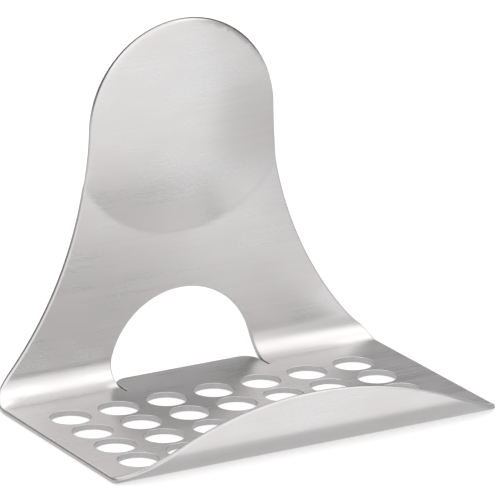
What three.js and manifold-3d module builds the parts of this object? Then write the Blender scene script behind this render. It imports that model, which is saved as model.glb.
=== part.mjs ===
// Palm-held masher, pressed from one sheet of stainless steel.
//
// The sheet is made here in the order in which a press shop makes it. A flat blank is cut with its
// holes, its finger arch and two slits; the round head is domed; then the front lip is curled up and
// the rear is folded upright. The tongue between the slits stays flat under the arch.
//
// Millimetres, +Z up. The lip is at the front (-Y) and the upright at the rear (+Y). The origin is the
// middle of the object's bounding box, on its underside.
//
// The blank has its own frame: x across, v along the sheet from front to rear, n through the sheet,
// 0 on the underside and SHEET on the face that ends up on top and in front. v is 0 on the rear row
// of holes, and on the flat base v runs along Y.

import * as THREE from "three";
import { mergeVertices } from "three/addons/utils/BufferGeometryUtils.js";
import Module from "manifold-3d";

// Sheet and base
const SHEET = 1.5;
const BASE_HALF_WIDTH = 53.8;
const FRONT_CORNER_RADIUS = 2.5;

// Holes: straight rows and columns, a little left of the middle
const HOLE_RADIUS = 5.1;
const HOLE_COLUMNS = 7;
const HOLE_ROWS = 4;
const COLUMN_PITCH = 13.5;
const ROW_PITCH = 11.55;
const PATTERN_SHIFT = -1.55;

// Rear bend and upright
const REAR_BEND_START = 12.6;
const REAR_BEND_RADIUS = 6.5;
const REAR_BEND_ANGLE = Math.PI / 2;
const HEAD_RADIUS = 26;
const HEAD_HEIGHT = 65.4; // centre of the head above the top face of the base
const FLARE_RADIUS = 95;
const FLARE_RISE = 2.8; // centre of the flare's arc above the centre of the head
const SHOULDER_RADIUS = 8; // between the flare and the straight side of the base

// Dome: a spherical cap with a soft foot
const DOME_RADIUS = 32.4; // wider than the head, so that it fades out across the neck
const DOME_SHIFT = 3.3; // centre of the dome above the centre of the head
const DOME_HEIGHT = 3.6;
const DOME_FOOT_RADIUS = 6;
const DOME_RIM = 1;

// Front lip
const LIP_BEND_START = -41.85;
const LIP_BEND_RADIUS = 5.5;
const LIP_BEND_ANGLE = THREE.MathUtils.degToRad(100);
const LIP_LENGTH = 18.1; // along the sheet, from the start of the bend to the middle of the edge
const LIP_EDGE_RADIUS = 101;

// Finger arch, slits and tongue
const ARCH_RADIUS = 20.7;
const ARCH_HEIGHT = 0.5; // centre of the arch above the top face of the base
const SLIT_END = 10.4;
const TONGUE_HALF_WIDTH = 20.3;
const TONGUE_END = 19.5;
const TONGUE_CORNER_RADIUS = 4;

// Facets
const HOLE_SEGMENTS = 20;
const CURVE_SEGMENTS = 10;
const DOME_SEGMENTS = 48;
const DOME_RINGS = 7;
const FOOT_RINGS = 3;
const BEND_STEPS = 9;
const MARGIN = 10; // how far a cutting solid runs past what it cuts
const ROUNDING = 0.001;

// Lengths that follow from the ones above
const rearNeutralRadius = REAR_BEND_RADIUS + SHEET / 2;
const lipNeutralRadius = LIP_BEND_RADIUS + SHEET / 2;
const rearBendEnd = REAR_BEND_START + REAR_BEND_ANGLE * rearNeutralRadius;
const lipBendEnd = LIP_BEND_START - LIP_BEND_ANGLE * lipNeutralRadius;
const toBlank = (height) => rearBendEnd + height - REAR_BEND_RADIUS;
const headCentre = toBlank(HEAD_HEIGHT);
const blankFront = LIP_BEND_START - LIP_LENGTH;
const blankRear = headCentre + HEAD_RADIUS;
const depthFront = LIP_BEND_START - LIP_BEND_RADIUS - SHEET;
const depthRear = REAR_BEND_START + REAR_BEND_RADIUS + SHEET;
const middleDepth = (depthFront + depthRear) / 2;

const wasm = await Module();
wasm.setup();

function toSolid(geometry) {
  const bare = geometry.clone();
  bare.deleteAttribute("normal");
  bare.deleteAttribute("uv");
  const merged = mergeVertices(bare, 1e-5);
  const corners = merged.index.array;
  const triangles = [];
  for (let i = 0; i < corners.length; i += 3) {
    const [a, b, c] = corners.slice(i, i + 3);
    const collapsed = a === b || b === c || c === a; // a lathe leaves some on its axis
    if (!collapsed) triangles.push(a, b, c);
  }
  return new wasm.Manifold(new wasm.Mesh({
    numProp: 3,
    vertProperties: new Float32Array(merged.attributes.position.array),
    triVerts: new Uint32Array(triangles),
  }));
}

function toGeometry(solid) {
  const mesh = solid.getMesh();
  const geometry = new THREE.BufferGeometry();
  geometry.setAttribute("position", new THREE.BufferAttribute(mesh.vertProperties, 3));
  geometry.setIndex(new THREE.BufferAttribute(mesh.triVerts, 1));
  geometry.computeVertexNormals();
  return geometry;
}

function slab(shape, bottom, top) {
  const options = { depth: top - bottom, bevelEnabled: false, curveSegments: CURVE_SEGMENTS };
  return toSolid(new THREE.ExtrudeGeometry(shape, options).translate(0, 0, bottom));
}

// The outline of the blank, counter-clockwise from the right end of the lip. Every curve is an arc
// that runs smoothly into the next one: lip edge, corner, side, shoulder, flare, head, and back.
function blankOutline() {
  const edgeCentre = blankFront + LIP_EDGE_RADIUS;
  const cornerX = BASE_HALF_WIDTH - FRONT_CORNER_RADIUS;
  const cornerAngle = Math.acos(cornerX / (LIP_EDGE_RADIUS - FRONT_CORNER_RADIUS));
  const cornerV = edgeCentre - Math.sin(cornerAngle) * (LIP_EDGE_RADIUS - FRONT_CORNER_RADIUS);

  const headAngle = Math.asin(FLARE_RISE / (FLARE_RADIUS + HEAD_RADIUS));
  const flareX = Math.cos(headAngle) * (FLARE_RADIUS + HEAD_RADIUS);
  const flareV = headCentre + FLARE_RISE;

  const shoulderX = BASE_HALF_WIDTH - SHOULDER_RADIUS;
  const shoulderAngle = Math.acos((flareX - shoulderX) / (FLARE_RADIUS + SHOULDER_RADIUS));
  const shoulderV = flareV - Math.sin(shoulderAngle) * (FLARE_RADIUS + SHOULDER_RADIUS);

  const shape = new THREE.Shape();
  shape.absarc(0, edgeCentre, LIP_EDGE_RADIUS, cornerAngle - Math.PI, -cornerAngle);
  shape.absarc(cornerX, cornerV, FRONT_CORNER_RADIUS, -cornerAngle, 0);
  shape.absarc(shoulderX, shoulderV, SHOULDER_RADIUS, 0, shoulderAngle);
  shape.absarc(flareX, flareV, FLARE_RADIUS, Math.PI + shoulderAngle, Math.PI + headAngle, true);
  shape.absarc(0, headCentre, HEAD_RADIUS, headAngle, Math.PI - headAngle);
  shape.absarc(-flareX, flareV, FLARE_RADIUS, -headAngle, -shoulderAngle, true);
  shape.absarc(-shoulderX, shoulderV, SHOULDER_RADIUS, Math.PI - shoulderAngle, Math.PI);
  shape.absarc(-cornerX, cornerV, FRONT_CORNER_RADIUS, Math.PI, Math.PI + cornerAngle);
  return shape;
}

// The arch, the two slits that run down from it, and the tongue that they leave standing.
function archOutline() {
  const centre = toBlank(ARCH_HEIGHT);
  const innerX = TONGUE_HALF_WIDTH - TONGUE_CORNER_RADIUS;
  const innerV = TONGUE_END - TONGUE_CORNER_RADIUS;
  const shape = new THREE.Shape();
  shape.moveTo(ARCH_RADIUS, SLIT_END);
  shape.lineTo(ARCH_RADIUS, centre);
  shape.absarc(0, centre, ARCH_RADIUS, 0, Math.PI);
  shape.lineTo(-ARCH_RADIUS, SLIT_END);
  shape.lineTo(-TONGUE_HALF_WIDTH, SLIT_END);
  shape.absarc(-innerX, innerV, TONGUE_CORNER_RADIUS, Math.PI, Math.PI / 2, true);
  shape.absarc(innerX, innerV, TONGUE_CORNER_RADIUS, Math.PI / 2, 0, true);
  shape.lineTo(TONGUE_HALF_WIDTH, SLIT_END);
  return shape;
}

function holes() {
  const solids = [];
  for (let row = 0; row < HOLE_ROWS; row += 1) {
    for (let column = 0; column < HOLE_COLUMNS; column += 1) {
      const x = PATTERN_SHIFT + (column - (HOLE_COLUMNS - 1) / 2) * COLUMN_PITCH;
      const hole = new THREE.CylinderGeometry(HOLE_RADIUS, HOLE_RADIUS, MARGIN, HOLE_SEGMENTS);
      solids.push(toSolid(hole.rotateX(Math.PI / 2).translate(x, -row * ROW_PITCH, 0)));
    }
  }
  return solids;
}

// The pressed dome as a shell that is as thick as the sheet, with a narrow flat rim that lies in it.
// The cap is part of a sphere. Its foot is a small arc that turns the other way and meets the flat.
function dome() {
  const sphere = (DOME_RADIUS ** 2 + DOME_HEIGHT ** 2) / (2 * DOME_HEIGHT);
  const reach = sphere + DOME_FOOT_RADIUS;
  const slope = Math.acos((sphere - DOME_HEIGHT + DOME_FOOT_RADIUS) / reach);
  const footRadius = reach * Math.sin(slope);
  const heights = [];
  for (let i = 0; i <= DOME_RINGS; i += 1) {
    const angle = slope * i / DOME_RINGS;
    heights.push([sphere * Math.sin(angle), DOME_HEIGHT - sphere * (1 - Math.cos(angle))]);
  }
  for (let i = 1; i <= FOOT_RINGS; i += 1) {
    const angle = slope * (1 - i / FOOT_RINGS);
    heights.push([footRadius - DOME_FOOT_RADIUS * Math.sin(angle), DOME_FOOT_RADIUS * (1 - Math.cos(angle))]);
  }
  heights.push([footRadius + DOME_RIM, 0]);
  const underside = heights.map(([radius, height]) => new THREE.Vector2(radius, height));
  const top = heights.map(([radius, height]) => new THREE.Vector2(radius, height + SHEET)).reverse();
  const shell = new THREE.LatheGeometry([...underside, ...top], DOME_SEGMENTS);
  const opening = new THREE.CylinderGeometry(footRadius, footRadius, MARGIN, DOME_SEGMENTS);
  const place = (geometry) => toSolid(geometry.rotateX(Math.PI / 2).translate(0, headCentre + DOME_SHIFT, 0));
  return { shell: place(shell), opening: place(opening) };
}

function cutBlank() {
  const length = blankRear - blankFront + 2 * MARGIN;
  const middle = (blankRear + blankFront) / 2;
  const plate = new THREE.BoxGeometry(2 * BASE_HALF_WIDTH + MARGIN, length, SHEET);
  const { shell, opening } = dome();
  const domed = toSolid(plate.translate(0, middle, SHEET / 2)).subtract(opening).add(shell);
  let blank = domed.intersect(slab(blankOutline(), -MARGIN, MARGIN));
  blank = blank.subtract(slab(archOutline(), -MARGIN, MARGIN));
  for (const hole of holes()) blank = blank.subtract(hole);
  return blank;
}

// Where a point goes that lies a distance past the start of a bend, and n above the underside.
function curl(distance, neutralRadius, fullAngle, n) {
  const angle = Math.min(distance / neutralRadius, fullAngle);
  const straight = distance - angle * neutralRadius;
  const radius = neutralRadius + SHEET / 2 - n;
  const centre = neutralRadius + SHEET / 2;
  return {
    advance: radius * Math.sin(angle) + straight * Math.cos(angle),
    rise: centre - radius * Math.cos(angle) + straight * Math.sin(angle),
  };
}

function form(x, v, n) {
  const onTongue = Math.abs(x) < (TONGUE_HALF_WIDTH + ARCH_RADIUS) / 2 && v < TONGUE_END + SHEET;
  if (v < LIP_BEND_START) {
    const lip = curl(LIP_BEND_START - v, lipNeutralRadius, LIP_BEND_ANGLE, n);
    return [x, LIP_BEND_START - lip.advance, lip.rise];
  }
  if (v > REAR_BEND_START && !onTongue) {
    const rear = curl(v - REAR_BEND_START, rearNeutralRadius, REAR_BEND_ANGLE, n);
    return [x, REAR_BEND_START + rear.advance, rear.rise];
  }
  return [x, v, n];
}

// The places across which the blank is split, so that each strip bends as one facet.
function bendLines() {
  const lines = [blankFront - MARGIN];
  for (let i = 0; i <= BEND_STEPS; i += 1) {
    lines.push(THREE.MathUtils.lerp(lipBendEnd, LIP_BEND_START, i / BEND_STEPS));
  }
  for (let i = 0; i <= BEND_STEPS; i += 1) {
    lines.push(THREE.MathUtils.lerp(REAR_BEND_START, rearBendEnd, i / BEND_STEPS));
  }
  lines.push(blankRear + MARGIN);
  return lines;
}

// Two neighbouring strips meet in one face, so its corners are rounded to be the same in both.
function bendStrip(strip) {
  const geometry = toGeometry(strip);
  const position = geometry.attributes.position;
  const rounded = (value) => Math.round(value / ROUNDING) * ROUNDING;
  for (let i = 0; i < position.count; i += 1) {
    const corner = [position.getX(i), position.getY(i), position.getZ(i)];
    position.setXYZ(i, ...form(...corner.map(rounded)));
  }
  return toSolid(geometry);
}

function formSheet(blank) {
  const lines = bendLines();
  let body = null;
  for (let i = 1; i < lines.length; i += 1) {
    const length = lines[i] - lines[i - 1];
    const box = new THREE.BoxGeometry(4 * BASE_HALF_WIDTH, length, 4 * MARGIN);
    const cutter = toSolid(box.translate(0, (lines[i] + lines[i - 1]) / 2, 0));
    const strip = bendStrip(blank.intersect(cutter));
    body = body ? body.add(strip) : strip;
  }
  return body;
}

const steel = new THREE.MeshStandardMaterial({ color: 0xc4c2c0, roughness: 0.38, metalness: 1 });

const masherBody = new THREE.Mesh(toGeometry(formSheet(cutBlank())), steel);
masherBody.name = "masher_body";
masherBody.position.y = -middleDepth;

const group = new THREE.Group();
group.add(masherBody);

export default group;
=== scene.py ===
"""A palm-held masher, pressed from one sheet of brushed stainless steel, on a pale floor.

The sheet is made as a press shop makes it: a flat blank with its holes, arch and slits, which is then
domed and bent. The blank's own frame is x across, v along the sheet from front to rear, and the depth
through the sheet. v is 0 on the rear row of holes. Lengths are in metres.
"""

import bpy
import math
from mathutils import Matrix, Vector
from mathutils.geometry import delaunay_2d_cdt


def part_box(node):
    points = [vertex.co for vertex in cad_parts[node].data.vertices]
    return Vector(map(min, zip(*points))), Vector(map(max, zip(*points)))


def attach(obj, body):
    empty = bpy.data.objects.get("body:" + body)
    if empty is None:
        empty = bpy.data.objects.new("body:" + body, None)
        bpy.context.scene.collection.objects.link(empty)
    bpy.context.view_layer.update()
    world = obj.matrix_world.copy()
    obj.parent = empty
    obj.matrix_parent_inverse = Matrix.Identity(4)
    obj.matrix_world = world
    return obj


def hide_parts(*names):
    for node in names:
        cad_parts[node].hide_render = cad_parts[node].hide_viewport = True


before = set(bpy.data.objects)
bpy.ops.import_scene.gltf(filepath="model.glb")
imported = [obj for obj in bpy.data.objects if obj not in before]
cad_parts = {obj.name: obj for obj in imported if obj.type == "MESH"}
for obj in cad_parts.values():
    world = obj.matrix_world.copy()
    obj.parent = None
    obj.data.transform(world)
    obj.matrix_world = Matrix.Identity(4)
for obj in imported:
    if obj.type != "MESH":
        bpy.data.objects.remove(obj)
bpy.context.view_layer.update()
MM = 0.001

# ---------------------------------------------------------------- the sheet, as in the CAD model
SHEET = 1.5 * MM
EDGE_ROUND = 0.6 * MM             # outer edge, tumbled smooth
ARCH_EDGE_ROUND = 0.4 * MM
HOLE_EDGE_ROUND = 0.16 * MM       # punched edges, only deburred
BASE_HALF_WIDTH = 53.8 * MM
FRONT_CORNER_RADIUS = 2.5 * MM

HOLE_RADIUS = 5.1 * MM
HOLE_COLUMNS = 7
HOLE_ROWS = 4
COLUMN_PITCH = 13.5 * MM
ROW_PITCH = 11.55 * MM
PATTERN_SHIFT = -1.55 * MM

REAR_BEND_START = 12.6 * MM
REAR_BEND_RADIUS = 6.5 * MM
REAR_BEND_ANGLE = math.radians(90)
HEAD_RADIUS = 26 * MM
HEAD_HEIGHT = 65.4 * MM
FLARE_RADIUS = 95 * MM
FLARE_RISE = 2.8 * MM
SHOULDER_RADIUS = 8 * MM

DOME_RADIUS = 32.4 * MM
DOME_SHIFT = 3.3 * MM
DOME_HEIGHT = 3.6 * MM
DOME_FOOT_RADIUS = 6 * MM
DOME_EDGE_ROLL = 0.9 * MM         # the dome eases toward the sheet's rim over this width
DOME_EDGE_SHARE = 0.7             # the share of its height that is left right at the rim

LIP_BEND_START = -41.85 * MM
LIP_BEND_RADIUS = 5.5 * MM
LIP_BEND_ANGLE = math.radians(100)
LIP_LENGTH = 18.1 * MM
LIP_EDGE_RADIUS = 101 * MM

ARCH_RADIUS = 20.7 * MM
ARCH_HEIGHT = 0.5 * MM
SLIT_END = 10.4 * MM
TONGUE_HALF_WIDTH = 20.3 * MM
TONGUE_END = 19.5 * MM
TONGUE_CORNER_RADIUS = 4 * MM

REAR_NEUTRAL_RADIUS = REAR_BEND_RADIUS + SHEET / 2
LIP_NEUTRAL_RADIUS = LIP_BEND_RADIUS + SHEET / 2
REAR_BEND_END = REAR_BEND_START + REAR_BEND_ANGLE * REAR_NEUTRAL_RADIUS
LIP_BEND_END = LIP_BEND_START - LIP_BEND_ANGLE * LIP_NEUTRAL_RADIUS
UPRIGHT_ZERO = REAR_BEND_END - REAR_BEND_RADIUS     # v of the upright at the height of the base's top
HEAD_CENTRE = UPRIGHT_ZERO + HEAD_HEIGHT
BLANK_FRONT = LIP_BEND_START - LIP_LENGTH
BLANK_REAR = HEAD_CENTRE + HEAD_RADIUS

FLARE_REACH = FLARE_RADIUS + HEAD_RADIUS            # from the head's centre to the flare's
HEAD_ANGLE = math.asin(FLARE_RISE / FLARE_REACH)    # where the head's arc meets the flare's
FLARE_X = math.cos(HEAD_ANGLE) * FLARE_REACH
FLARE_V = HEAD_CENTRE + FLARE_RISE

DOME_CENTRE = HEAD_CENTRE + DOME_SHIFT
DOME_SPHERE = (DOME_RADIUS ** 2 + DOME_HEIGHT ** 2) / (2 * DOME_HEIGHT)
DOME_REACH = DOME_SPHERE + DOME_FOOT_RADIUS
DOME_SLOPE = math.acos((DOME_SPHERE - DOME_HEIGHT + DOME_FOOT_RADIUS) / DOME_REACH)
DOME_CREASE = DOME_SPHERE * math.sin(DOME_SLOPE)    # where the sphere gives way to the hollow foot
DOME_FOOT = DOME_REACH * math.sin(DOME_SLOPE)       # where the foot runs out into the flat sheet

# ---------------------------------------------------------------- how finely the mesh is made
RIM_STEP = 0.8 * MM
RIM_CLEARANCE = 0.55 * RIM_STEP   # no grid point lies nearer to a rim point
HOLE_STEPS = 56
ROUND_STEPS = 4
ACROSS_STEP = 1.6 * MM
FLAT_STEP = 2.2 * MM
BEND_STEP = 0.55 * MM
DOME_STEP = 1.3 * MM
DOME_MARGIN = 3 * MM              # the fine rows start this far before the dome's radius
SLOPE_STEP = 0.02 * MM            # how far apart two points are that give a direction in the sheet
INSIDE_OUTLINES = 1               # the triangulation's output type: triangles within the outlines
SAME_POINT = 1e-9
UV_SCALE = 5.5                    # the blank is under 1/5.5 m long and wide
UV_MIDDLE = (0.5, 0.365)          # where x = 0, v = 0 falls, so the whole blank lies in 0 to 1

# ---------------------------------------------------------------- the looks of the steel
STEEL_DARK = (0.605, 0.598, 0.597, 1)
STEEL_LIGHT = (0.65, 0.642, 0.641, 1)
CLOUD_TINT = (0.975, 0.955, 0.95, 1)
CUT_TINT = (0.66, 0.66, 0.67, 1)  # the cut edges aren't brushed
FINE_SHARE = 0.6
BROAD_SHARE = 0.4
BROAD_ROUGHNESS = (0.27, 0.31)
CLOUD_ROUGHNESS = (-0.02, 0.03)
STREAK_ROUGHNESS = 0.65
BUMP_STRENGTH = 0.03
BUMP_HEIGHT = 0.02 * MM
ANISOTROPY = 0.6
QUARTER_TURN = 0.25

# ---------------------------------------------------------------- the set
FLOOR_HALF_SIZE = 6.0
FLOOR_DROP = 0.02 * MM            # the floor lies this little under the sheet
FLOOR_GREY = 0.42
FLOOR_ROUGHNESS = 0.9
FLOOR_GLOW = 0.593                # it gives off light too, so that it renders white
# Painted reflection: a card to the camera's right that only reflections see. It gives off a dim grey light,
# so the steel's reflections on that side turn darker than the room would make them.
SIDE_PAINTED_REFLECTION_GLOW = 0.80
SIDE_CARD_ORIGIN = (12 * MM, 19 * MM, 0)
SIDE_CARD_OUT = 85 * MM           # from its origin toward the camera's right
SIDE_CARD_NEAR = 30 * MM          # from there toward the camera, where its near end stands
SIDE_CARD_LENGTH = 300 * MM
SIDE_CARD_HEIGHT = 55 * MM
# Painted shade: a dim grey card on the floor just under the lip's front, which only reflections see. It
# darkens the lip's lower curve as a contact shadow there would.
LIP_PAINTED_SHADE_GLOW = 0.72
LIP_CARD_HALF_WIDTH = 65 * MM
LIP_CARD_FRONT = -44 * MM
LIP_CARD_BACK = -30 * MM
LIP_CARD_HEIGHT = 0.1 * MM
FRONT_GLOW = 1.3                  # the room's brightness in front of the object
BEHIND_GLOW = 0.22
RIGHT_SHARE = 0.2                 # how much of it is left at the right
CEILING_GLOW = 1.8
ZENITH_GLOW = 0.85
LAMP_PLACE = (0.04, 0.12, 0.60)
LAMP_TARGET = (0.04, 0.12, 0)
LAMP_SIZE = 0.5
LAMP_POWER = 0.4

VIEW_AZIMUTH = math.radians(29.9)
VIEW_ELEVATION = math.radians(17.99)
CAMERA_DISTANCE = 1372.75 * MM    # these three are measured from the rear row's middle hole
CAMERA_RIGHT = 9.02 * MM
CAMERA_RISE = 34.92 * MM
LENS = 396                        # millimetres, as the sensor's width is
SENSOR_WIDTH = 36
CLIP_END = 50


def blank_offset_y():
    """The y at which v = 0 falls, so that the sheet lies as its CAD body does."""
    low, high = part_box("masher_body")
    front = LIP_BEND_START - LIP_BEND_RADIUS - SHEET
    rear = REAR_BEND_START + REAR_BEND_RADIUS + SHEET
    return (low[1] + high[1]) / 2 - (front + rear) / 2


OFFSET_Y = blank_offset_y()


# ---------------------------------------------------------------- outlines in the blank
def arc(cx, cy, radius, start, end):
    """Points along an arc, without its last point."""
    count = max(3, round(abs(end - start) * radius / RIM_STEP))
    angles = [start + (end - start) * i / count for i in range(count)]
    return [(cx + radius * math.cos(a), cy + radius * math.sin(a)) for a in angles]


def line(ax, ay, bx, by):
    """Points along a straight line, without its last point."""
    count = max(1, round(math.hypot(bx - ax, by - ay) / RIM_STEP))
    return [(ax + (bx - ax) * i / count, ay + (by - ay) * i / count) for i in range(count)]


def blank_outline():
    """Counter-clockwise: lip edge, corner, side, shoulder, flare and head, and down the other side."""
    edge_centre = BLANK_FRONT + LIP_EDGE_RADIUS
    reach = LIP_EDGE_RADIUS - FRONT_CORNER_RADIUS
    corner_x = BASE_HALF_WIDTH - FRONT_CORNER_RADIUS
    corner = math.acos(corner_x / reach)
    corner_v = edge_centre - math.sin(corner) * reach

    reach = FLARE_RADIUS + SHOULDER_RADIUS
    shoulder_x = BASE_HALF_WIDTH - SHOULDER_RADIUS
    shoulder = math.acos((FLARE_X - shoulder_x) / reach)
    shoulder_v = FLARE_V - math.sin(shoulder) * reach

    pi = math.pi
    return (
        arc(0, edge_centre, LIP_EDGE_RADIUS, corner - pi, -corner)
        + arc(corner_x, corner_v, FRONT_CORNER_RADIUS, -corner, 0)
        + line(BASE_HALF_WIDTH, corner_v, BASE_HALF_WIDTH, shoulder_v)
        + arc(shoulder_x, shoulder_v, SHOULDER_RADIUS, 0, shoulder)
        + arc(FLARE_X, FLARE_V, FLARE_RADIUS, pi + shoulder, pi + HEAD_ANGLE)
        + arc(0, HEAD_CENTRE, HEAD_RADIUS, HEAD_ANGLE, pi - HEAD_ANGLE)
        + arc(-FLARE_X, FLARE_V, FLARE_RADIUS, -HEAD_ANGLE, -shoulder)
        + arc(-shoulder_x, shoulder_v, SHOULDER_RADIUS, pi - shoulder, pi)
        + line(-BASE_HALF_WIDTH, shoulder_v, -BASE_HALF_WIDTH, corner_v)
        + arc(-corner_x, corner_v, FRONT_CORNER_RADIUS, pi, pi + corner)
    )


def arch_outline():
    """Clockwise, as an opening: the arch, a slit on each side, and the tongue between them."""
    centre = UPRIGHT_ZERO + ARCH_HEIGHT
    inner_x = TONGUE_HALF_WIDTH - TONGUE_CORNER_RADIUS
    inner_v = TONGUE_END - TONGUE_CORNER_RADIUS
    slit_x = (ARCH_RADIUS + TONGUE_HALF_WIDTH) / 2
    slit = (ARCH_RADIUS - TONGUE_HALF_WIDTH) / 2
    pi = math.pi
    points = (
        line(ARCH_RADIUS, SLIT_END + slit, ARCH_RADIUS, centre)
        + arc(0, centre, ARCH_RADIUS, 0, pi)
        + line(-ARCH_RADIUS, centre, -ARCH_RADIUS, SLIT_END + slit)
        + arc(-slit_x, SLIT_END + slit, slit, pi, 2 * pi)
        + line(-TONGUE_HALF_WIDTH, SLIT_END + slit, -TONGUE_HALF_WIDTH, inner_v)
        + arc(-inner_x, inner_v, TONGUE_CORNER_RADIUS, pi, pi / 2)
        + line(-inner_x, TONGUE_END, inner_x, TONGUE_END)
        + arc(inner_x, inner_v, TONGUE_CORNER_RADIUS, pi / 2, 0)
        + line(TONGUE_HALF_WIDTH, inner_v, TONGUE_HALF_WIDTH, SLIT_END + slit)
        + arc(slit_x, SLIT_END + slit, slit, pi, 2 * pi)
    )
    points.reverse()
    return points


def hole_outlines():
    """Clockwise, as openings: the base's grid of round holes."""
    angles = [-2 * math.pi * i / HOLE_STEPS for i in range(HOLE_STEPS)]
    outlines = []
    for row in range(HOLE_ROWS):
        for column in range(HOLE_COLUMNS):
            x = PATTERN_SHIFT + (column - (HOLE_COLUMNS - 1) / 2) * COLUMN_PITCH
            v = -row * ROW_PITCH
            outlines.append([(x + HOLE_RADIUS * math.cos(a), v + HOLE_RADIUS * math.sin(a)) for a in angles])
    return outlines


def outward_normals(loop):
    """For each point, the direction that points out of the metal: right of the way the loop runs."""
    normals = []
    for i in range(len(loop)):
        before, after = loop[i - 1], loop[(i + 1) % len(loop)]
        along = Vector((after[0] - before[0], after[1] - before[1])).normalized()
        normals.append((along.y, -along.x))
    return normals


def set_back(loop, outs, distance):
    """The loop, moved into the metal by that distance."""
    return [(p[0] - out[0] * distance, p[1] - out[1] * distance) for p, out in zip(loop, outs)]


# ---------------------------------------------------------------- forming
def rim_distance(x, v):
    """How far the point lies inside the outline of the head and the neck."""
    turn = math.atan2(v - HEAD_CENTRE, abs(x))
    if turn > HEAD_ANGLE:
        return HEAD_RADIUS - math.hypot(x, v - HEAD_CENTRE)
    return math.hypot(FLARE_X - abs(x), FLARE_V - v) - FLARE_RADIUS


def dome_rise(x, v):
    """Height of the dome above the flat sheet: a sphere's cap, a hollow foot, and an eased rim."""
    distance = math.hypot(x, v - HEAD_CENTRE - DOME_SHIFT)
    if distance >= DOME_FOOT:
        return 0.0
    if distance <= DOME_CREASE:
        rise = DOME_HEIGHT - DOME_SPHERE + math.sqrt(DOME_SPHERE ** 2 - distance ** 2)
    else:
        rise = DOME_FOOT_RADIUS - math.sqrt(DOME_FOOT_RADIUS ** 2 - (DOME_FOOT - distance) ** 2)
    short = 1 - min(1.0, max(0.0, rim_distance(x, v)) / DOME_EDGE_ROLL)
    return rise * (DOME_EDGE_SHARE + (1 - DOME_EDGE_SHARE) * math.sqrt(1 - short ** 2))


def curl(distance, neutral_radius, full_angle, depth):
    """Advance and rise of a point that far past the start of a bend, at that depth above the underside."""
    angle = min(distance / neutral_radius, full_angle)
    straight = distance - angle * neutral_radius
    centre = neutral_radius + SHEET / 2
    radius = centre - depth
    advance = radius * math.sin(angle) + straight * math.cos(angle)
    rise = centre - radius * math.cos(angle) + straight * math.sin(angle)
    return advance, rise


def middle_surface(x, v):
    """The middle of the formed sheet."""
    depth = SHEET / 2 + dome_rise(x, v)
    on_tongue = abs(x) < (TONGUE_HALF_WIDTH + ARCH_RADIUS) / 2 and v < TONGUE_END + SHEET
    if v < LIP_BEND_START:
        advance, rise = curl(LIP_BEND_START - v, LIP_NEUTRAL_RADIUS, LIP_BEND_ANGLE, depth)
        return Vector((x, OFFSET_Y + LIP_BEND_START - advance, rise))
    if v > REAR_BEND_START and not on_tongue:
        advance, rise = curl(v - REAR_BEND_START, REAR_NEUTRAL_RADIUS, REAR_BEND_ANGLE, depth)
        return Vector((x, OFFSET_Y + REAR_BEND_START + advance, rise))
    return Vector((x, OFFSET_Y + v, depth))


def formed(x, v):
    """The middle point there, and the unit directions across, along and out of the sheet."""
    point = middle_surface(x, v)
    across = (middle_surface(x + SLOPE_STEP, v) - middle_surface(x - SLOPE_STEP, v)).normalized()
    along = (middle_surface(x, v + SLOPE_STEP) - middle_surface(x, v - SLOPE_STEP)).normalized()
    return point, across, along, across.cross(along).normalized()


# ---------------------------------------------------------------- mesh
def levels(start, end, step):
    """Even values from start up to end, without end."""
    count = max(1, math.ceil((end - start) / step))
    return [start + (end - start) * i / count for i in range(count)]


def inner_points():
    """A grid over the blank, fine where the sheet bends."""
    dome_start = DOME_CENTRE - DOME_RADIUS - DOME_MARGIN
    rows = (
        levels(BLANK_FRONT, LIP_BEND_END, FLAT_STEP)
        + levels(LIP_BEND_END, LIP_BEND_START, BEND_STEP)
        + levels(LIP_BEND_START, REAR_BEND_START, FLAT_STEP)
        + levels(REAR_BEND_START, REAR_BEND_END, BEND_STEP)
        + levels(REAR_BEND_END, dome_start, FLAT_STEP)
        + levels(dome_start, BLANK_REAR, DOME_STEP)
    )
    points = []
    for v in rows:
        step = DOME_STEP if v >= dome_start else ACROSS_STEP
        count = round(BASE_HALF_WIDTH / step)
        points += [(BASE_HALF_WIDTH * i / count, v) for i in range(-count, count + 1)]
    return points


def inside(point, loop):
    """True if the point lies inside the loop, whichever way the loop runs."""
    x, y = point
    result = False
    for i, (bx, by) in enumerate(loop):
        ax, ay = loop[i - 1]
        if (ay > y) != (by > y) and x < ax + (bx - ax) * (y - ay) / (by - ay):
            result = not result
    return result


def box_of(loop):
    """Left, right, front and rear of the loop."""
    xs, vs = zip(*loop)
    return min(xs), max(xs), min(vs), max(vs)


def on_metal(point, outer, openings):
    """True if the point lies inside the outer rim and in no opening. Each opening comes with its box."""
    x, v = point
    near = [loop for loop, (left, right, front, rear) in openings if left < x < right and front < v < rear]
    return inside(point, outer) and not any(inside(point, loop) for loop in near)


def cell_of(point):
    """The square cell, as wide as the clearance, that the point falls in."""
    return math.floor(point[0] / RIM_CLEARANCE), math.floor(point[1] / RIM_CLEARANCE)


def rim_cells(loops):
    """The rim points, by cell."""
    cells = {}
    for loop in loops:
        for point in loop:
            cells.setdefault(cell_of(point), []).append(point)
    return cells


def clear_of_rims(point, cells):
    """True if no rim point is nearer than the clearance."""
    column, row = cell_of(point)
    near = [other for i in (-1, 0, 1) for j in (-1, 0, 1) for other in cells.get((column + i, row + j), ())]
    return all(math.hypot(point[0] - other[0], point[1] - other[1]) >= RIM_CLEARANCE for other in near)


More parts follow.
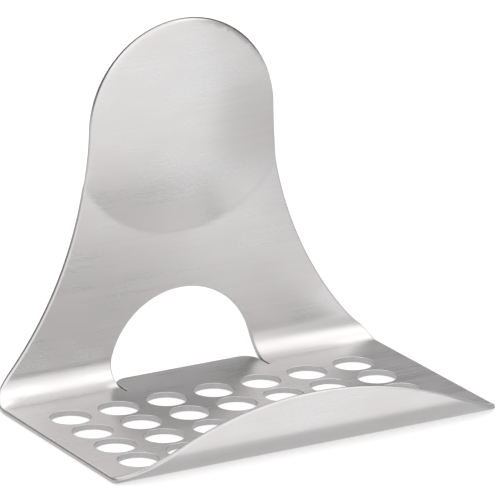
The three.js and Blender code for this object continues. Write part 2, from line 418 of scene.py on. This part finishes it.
def face_triangles(loops):
    """Triangles over the metal between the rims: the points, index triples, and each point's origins.

    An origin is the index of a rim point in the loops, counted on from one loop to the next.
    """
    outer = loops[0]
    openings = [(loop, box_of(loop)) for loop in loops[1:]]
    points, edges = [], []
    for loop in loops:
        first = len(points)
        points += loop
        edges += [(first + i, first + (i + 1) % len(loop)) for i in range(len(loop))]
    cells = rim_cells(loops)
    for point in inner_points():
        if clear_of_rims(point, cells) and on_metal(point, outer, openings):
            points.append(point)
    corners = [Vector(p) for p in points]
    result = delaunay_2d_cdt(corners, edges, [], INSIDE_OUTLINES, SAME_POINT)
    flat = [tuple(p) for p in result[0]]
    kept = []
    for face in result[2]:
        middle = (sum(flat[i][0] for i in face) / 3, sum(flat[i][1] for i in face) / 3)
        if on_metal(middle, outer, openings):
            kept.append(tuple(face))
    return flat, kept, result[3]


def rim_profile(edge):
    """The rings round a rim, from the top face to the underside: set-back, height, tilt and cut share."""
    profile = []
    for side in (1, -1):
        for step in range(1, ROUND_STEPS + 1)[::side]:
            tilt = math.pi / 2 * step / ROUND_STEPS
            back = edge * (1 - math.sin(tilt))
            height = side * (SHEET / 2 - edge * (1 - math.cos(tilt)))
            lean = tilt if side == 1 else math.pi - tilt
            profile.append((back, height, lean, step / ROUND_STEPS))
    return profile


def band_faces(upper, lower):
    """The quads between two rings of as many points."""
    count = len(upper)
    nexts = [(i + 1) % count for i in range(count)]
    return [(upper[i], lower[i], lower[j], upper[j]) for i, j in enumerate(nexts)]


def sheet_object(vertices, faces, normals, places, cuts):
    """The mesh as an object, with the blank as its UV map and a value that marks the cut edges."""
    mesh = bpy.data.meshes.new("pressed_sheet")
    mesh.from_pydata([tuple(p) for p in vertices], [], faces)
    layer = mesh.uv_layers.new(name="blank")
    for corner in mesh.loops:
        x, v = places[corner.vertex_index]
        layer.data[corner.index].uv = (x * UV_SCALE + UV_MIDDLE[0], v * UV_SCALE + UV_MIDDLE[1])
    mesh.attributes.new("cut_edge", "FLOAT", "POINT").data.foreach_set("value", cuts)
    for polygon in mesh.polygons:
        polygon.use_smooth = True
    mesh.normals_split_custom_set_from_vertices([tuple(n) for n in normals])
    mesh.validate()
    piece = bpy.data.objects.new("pressed_sheet", mesh)
    bpy.context.scene.collection.objects.link(piece)
    return piece


def build_sheet():
    """The whole formed sheet as one closed mesh with exact normals."""
    loops = [blank_outline(), arch_outline()] + hole_outlines()
    edges = [EDGE_ROUND, ARCH_EDGE_ROUND] + [HOLE_EDGE_ROUND] * (HOLE_ROWS * HOLE_COLUMNS)
    loop_outs = [outward_normals(loop) for loop in loops]
    insets = [set_back(loop, outs, edge) for loop, outs, edge in zip(loops, loop_outs, edges)]
    flat, triangles, origins = face_triangles(insets)
    vertices, normals, places, cuts = [], [], [], []

    def add(x, v, height, tilt, out, cut=0.0):
        """A vertex over (x, v), that high above the middle; its normal tilts from the face to the rim."""
        point, across, along, up = formed(x, v)
        sideways = across * out[0] + along * out[1]
        vertices.append(point + up * height)
        normals.append((up * math.cos(tilt) + sideways * math.sin(tilt)).normalized())
        places.append((x, v))
        cuts.append(cut)
        return len(vertices) - 1

    top = [add(x, v, SHEET / 2, 0, (0, 0)) for x, v in flat]
    bottom = [add(x, v, -SHEET / 2, math.pi, (0, 0)) for x, v in flat]
    faces = [(top[a], top[b], top[c]) for a, b, c in triangles]
    faces += [(bottom[a], bottom[c], bottom[b]) for a, b, c in triangles]

    index_of = {old: new for new, olds in enumerate(origins) for old in olds}
    first = 0
    for loop, outs, edge in zip(loops, loop_outs, edges):
        rim = [index_of[first + i] for i in range(len(loop))]
        rings = [[top[i] for i in rim]]
        for back, height, lean, cut in rim_profile(edge):
            ring = set_back(loop, outs, back)
            rings.append([add(x, v, height, lean, out, cut) for (x, v), out in zip(ring, outs)])
        rings.append([bottom[i] for i in rim])
        for upper, lower in zip(rings, rings[1:]):
            faces += band_faces(upper, lower)
        first += len(loop)
    return sheet_object(vertices, faces, normals, places, cuts)


# ---------------------------------------------------------------- materials
def brushed_steel():
    """Steel whose grain runs across the blank, and follows it round the bends."""
    material = bpy.data.materials.new("brushed_steel")
    material.use_nodes = True
    nodes, links = material.node_tree.nodes, material.node_tree.links
    shader = nodes["Principled BSDF"]
    shader.inputs["Metallic"].default_value = 1.0
    shader.inputs["Anisotropic"].default_value = ANISOTROPY
    shader.inputs["Anisotropic Rotation"].default_value = QUARTER_TURN

    place = nodes.new("ShaderNodeUVMap")
    place.uv_map = "blank"

    def streaks(length, width, detail):
        """Noise drawn out across the sheet, the way it was brushed while it was still flat."""
        mapping = nodes.new("ShaderNodeMapping")
        mapping.inputs["Scale"].default_value = (1 / (length * UV_SCALE), 1 / (width * UV_SCALE), 1)
        texture = nodes.new("ShaderNodeTexNoise")
        texture.noise_dimensions = "2D"
        texture.inputs["Scale"].default_value = 1.0
        texture.inputs["Detail"].default_value = detail
        texture.inputs["Roughness"].default_value = STREAK_ROUGHNESS
        links.new(place.outputs["UV"], mapping.inputs["Vector"])
        links.new(mapping.outputs["Vector"], texture.inputs["Vector"])
        return texture.outputs["Fac"]

    def ranged(value, low, high, start=0.3, end=0.7):
        """Noise between start and end, spread from low to high."""
        node = nodes.new("ShaderNodeMapRange")
        node.inputs["From Min"].default_value = start
        node.inputs["From Max"].default_value = end
        node.inputs["To Min"].default_value = low
        node.inputs["To Max"].default_value = high
        links.new(value, node.inputs["Value"])
        return node.outputs["Result"]

    def tinted(colour, tint, share):
        """The colour, multiplied by the tint as far as the share says."""
        node = nodes.new("ShaderNodeMix")
        node.data_type = "RGBA"
        node.blend_type = "MULTIPLY"
        node.inputs["B"].default_value = tint
        links.new(share, node.inputs["Factor"])
        links.new(colour, node.inputs["A"])
        return node.outputs["Result"]

    fine = streaks(length=22 * MM, width=0.14 * MM, detail=2)
    broad = streaks(length=90 * MM, width=1.1 * MM, detail=3)
    cloud = streaks(length=26 * MM, width=14 * MM, detail=2)

    grain = nodes.new("ShaderNodeMath")
    grain.operation = "MULTIPLY_ADD"
    grain.inputs[1].default_value = FINE_SHARE
    links.new(ranged(fine, 0.0, 1.0), grain.inputs[0])
    links.new(ranged(broad, 0.0, BROAD_SHARE), grain.inputs[2])
    colour = nodes.new("ShaderNodeMix")
    colour.data_type = "RGBA"
    colour.inputs["A"].default_value = STEEL_DARK
    colour.inputs["B"].default_value = STEEL_LIGHT
    links.new(grain.outputs["Value"], colour.inputs["Factor"])

    cut = nodes.new("ShaderNodeAttribute")
    cut.attribute_name = "cut_edge"
    clouded = tinted(colour.outputs["Result"], CLOUD_TINT, ranged(cloud, 0.0, 1.0))
    edged = tinted(clouded, CUT_TINT, cut.outputs["Fac"])
    links.new(edged, shader.inputs["Base Color"])

    rough = nodes.new("ShaderNodeMath")
    rough.operation = "ADD"
    links.new(ranged(broad, *BROAD_ROUGHNESS), rough.inputs[0])
    links.new(ranged(cloud, *CLOUD_ROUGHNESS), rough.inputs[1])
    links.new(rough.outputs["Value"], shader.inputs["Roughness"])

    bump = nodes.new("ShaderNodeBump")
    bump.inputs["Strength"].default_value = BUMP_STRENGTH
    bump.inputs["Distance"].default_value = BUMP_HEIGHT
    links.new(fine, bump.inputs["Height"])
    links.new(bump.outputs["Normal"], shader.inputs["Normal"])

    tangent = nodes.new("ShaderNodeTangent")
    tangent.direction_type = "UV_MAP"
    tangent.uv_map = "blank"
    links.new(tangent.outputs["Tangent"], shader.inputs["Tangent"])
    return material


def glowing(name, grey, roughness, glow):
    """A plain matt grey that gives off some white light of its own."""
    material = bpy.data.materials.new(name)
    material.use_nodes = True
    shader = material.node_tree.nodes["Principled BSDF"]
    shader.inputs["Base Color"].default_value = (grey, grey, grey, 1)
    shader.inputs["Roughness"].default_value = roughness
    shader.inputs["Emission Color"].default_value = (1, 1, 1, 1)
    shader.inputs["Emission Strength"].default_value = glow
    return material


# ---------------------------------------------------------------- floor, light and camera
def four_sided(name, corners, material):
    """A flat card between four corners."""
    mesh = bpy.data.meshes.new(name)
    mesh.from_pydata(corners, [], [(0, 1, 2, 3)])
    mesh.materials.append(material)
    card = bpy.data.objects.new(name, mesh)
    bpy.context.scene.collection.objects.link(card)
    return card


def make_floor():
    """A wide floor that ends far outside any view."""
    size = FLOOR_HALF_SIZE
    corners = [(-size, -size, 0), (size, -size, 0), (size, size, 0), (-size, size, 0)]
    floor = four_sided("floor", corners, glowing("pale_floor", FLOOR_GREY, FLOOR_ROUGHNESS, FLOOR_GLOW))
    floor.location.z = -FLOOR_DROP


def make_painted_reflection(name, corners, glow):
    """A grey card at the set that only reflections see. It gives off a dim light of its own and is a painted
    reflection, dimmer than the room around it.
    """
    material = glowing(name, grey=0, roughness=1, glow=glow)
    material.node_tree.nodes["Principled BSDF"].inputs["Specular IOR Level"].default_value = 0.0
    reflection_card = four_sided(name, corners, material)
    reflection_card.visible_camera = False
    reflection_card.visible_diffuse = False
    reflection_card.visible_shadow = False
    reflection_card.visible_transmission = False


def make_painted_reflections():
    """Painted reflections. One stands to the camera's right of the object and darkens the steel's
    reflections on that side. One lies under the front of the lip and paints a contact shadow's shade into
    the lip's reflection.
    """
    across = Vector((math.cos(VIEW_AZIMUTH), -math.sin(VIEW_AZIMUTH), 0))
    away = Vector((math.sin(VIEW_AZIMUTH), math.cos(VIEW_AZIMUTH), 0))
    near = Vector(SIDE_CARD_ORIGIN) + across * SIDE_CARD_OUT - away * SIDE_CARD_NEAR
    far = near + away * SIDE_CARD_LENGTH
    top = Vector((0, 0, SIDE_CARD_HEIGHT))
    make_painted_reflection("side_painted_reflection", [near, far, far + top, near + top], SIDE_PAINTED_REFLECTION_GLOW)
    sides = (-LIP_CARD_HALF_WIDTH, LIP_CARD_HALF_WIDTH)
    front = [(x, LIP_CARD_FRONT, LIP_CARD_HEIGHT) for x in sides]
    back = [(x, LIP_CARD_BACK, LIP_CARD_HEIGHT) for x in reversed(sides)]
    make_painted_reflection("lip_painted_shade", front + back, LIP_PAINTED_SHADE_GLOW)


def make_world():
    """A bright room in front and above, darker behind the object and to its right."""
    world = bpy.data.worlds.new("studio")
    bpy.context.scene.world = world
    world.use_nodes = True
    nodes, links = world.node_tree.nodes, world.node_tree.links
    place = nodes.new("ShaderNodeTexCoord")
    parts = nodes.new("ShaderNodeSeparateXYZ")
    links.new(place.outputs["Generated"], parts.inputs["Vector"])

    def eased(axis, start, end, low, high):
        """A value that eases from low to high as the direction's part along that axis grows."""
        node = nodes.new("ShaderNodeMapRange")
        node.interpolation_type = "SMOOTHSTEP"
        node.inputs["From Min"].default_value = start
        node.inputs["From Max"].default_value = end
        node.inputs["To Min"].default_value = low
        node.inputs["To Max"].default_value = high
        links.new(parts.outputs[axis], node.inputs["Value"])
        return node.outputs["Result"]

    walls = nodes.new("ShaderNodeMath")
    walls.operation = "MULTIPLY"
    links.new(eased("Y", -0.3, 0.45, FRONT_GLOW, BEHIND_GLOW), walls.inputs[0])
    links.new(eased("X", 0.45, 0.8, 1.0, RIGHT_SHARE), walls.inputs[1])
    room = nodes.new("ShaderNodeMix")
    links.new(walls.outputs["Value"], room.inputs["A"])
    links.new(eased("Z", 0.84, 0.96, CEILING_GLOW, ZENITH_GLOW), room.inputs["B"])
    links.new(eased("Z", 0.4, 0.75, 0.0, 1.0), room.inputs["Factor"])
    background = nodes["Background"]
    background.inputs["Color"].default_value = (1, 1, 1, 1)
    links.new(room.outputs["Result"], background.inputs["Strength"])


def make_lamp():
    """A soft box overhead."""
    data = bpy.data.lights.new("overhead", "AREA")
    data.shape = "SQUARE"
    data.size = LAMP_SIZE
    data.energy = LAMP_POWER
    lamp = bpy.data.objects.new("overhead", data)
    lamp.location = LAMP_PLACE
    lamp.rotation_euler = (Vector(LAMP_TARGET) - Vector(LAMP_PLACE)).to_track_quat("-Z", "Y").to_euler()
    bpy.context.scene.collection.objects.link(lamp)


def make_camera():
    """A long lens, well back, a little to the left and above."""
    sine, cosine = math.sin(VIEW_AZIMUTH), math.cos(VIEW_AZIMUTH)
    level = math.cos(VIEW_ELEVATION)
    forward = Vector((sine * level, cosine * level, -math.sin(VIEW_ELEVATION)))
    right = Vector((cosine, -sine, 0))
    up = right.cross(forward)
    origin = Vector((PATTERN_SHIFT, OFFSET_Y, SHEET))
    data = bpy.data.cameras.new("camera")
    data.sensor_width = SENSOR_WIDTH
    data.lens = LENS
    data.clip_end = CLIP_END
    camera = bpy.data.objects.new("camera", data)
    camera.location = origin + right * CAMERA_RIGHT + up * CAMERA_RISE - forward * CAMERA_DISTANCE
    camera.rotation_euler = forward.to_track_quat("-Z", "Y").to_euler()
    bpy.context.scene.collection.objects.link(camera)
    bpy.context.scene.camera = camera


bpy.context.scene.view_settings.view_transform = "Standard"
make_camera()
make_world()
make_floor()
# painted reflections and painted shade, seen only in the steel's reflections
make_painted_reflections()
make_lamp()
sheet = build_sheet()
sheet.data.materials.append(brushed_steel())
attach(sheet, "root")
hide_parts("masher_body")
